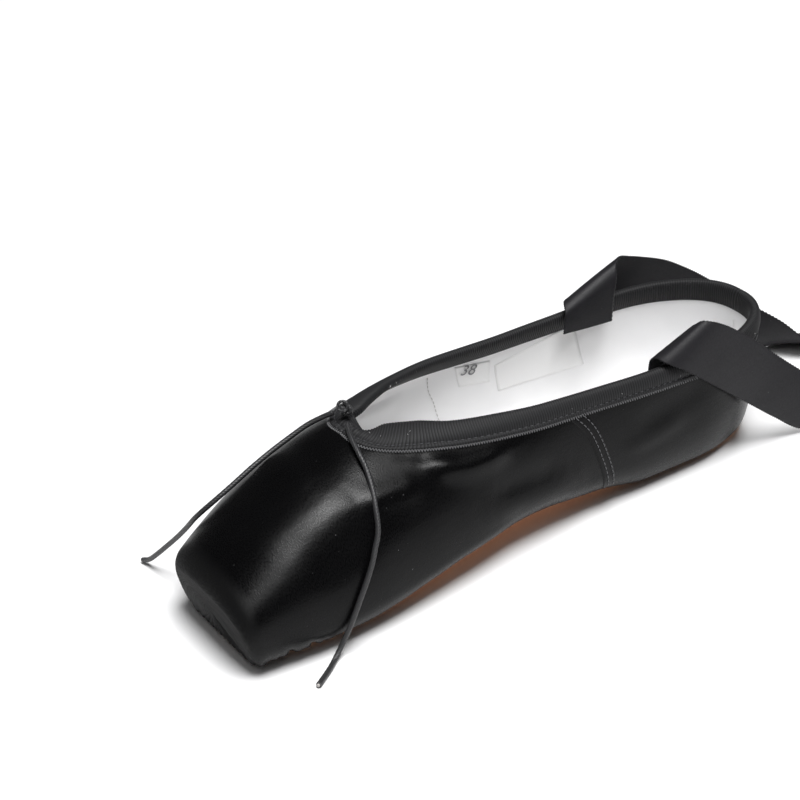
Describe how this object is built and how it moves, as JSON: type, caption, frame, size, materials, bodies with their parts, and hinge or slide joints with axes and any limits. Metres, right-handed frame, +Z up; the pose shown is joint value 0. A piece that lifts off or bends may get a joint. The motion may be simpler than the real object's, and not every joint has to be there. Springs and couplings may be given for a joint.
{
  "type": "pointe shoe",
  "caption": "Black satin pointe shoe with a stiff flat-ended toe box, ribbed collar binding, knotted elastic drawstring, tan leather sole and long satin ribbons.",
  "frame": {"origin": "on the floor, under the middle of the forefoot's tread", "axes": "-Y towards the toe, +Y towards the heel, +X the wearer's left, +Z up"},
  "size_m": [0.1373, 0.4312, 0.0662],
  "materials": {
    "satin": "black satin weave with a soft broad sheen",
    "sole_leather": "smooth tan sole leather, lightly scuffed",
    "lining": "matt white cotton",
    "binding_tape": "matt ribbed tape",
    "drawstring": "braided elastic cord",
    "ribbon": "single-faced satin ribbon with woven edges"
  },
  "bodies": {
    "root": {"upper": "satin", "outsole": "sole_leather", "insole": "lining", "binding": "binding_tape", "drawstring_knot": "drawstring", "drawstring_end_near": "drawstring", "drawstring_end_far": "drawstring", "ribbon_near": "ribbon", "ribbon_far": "ribbon"}
  },
  "joints": []
}
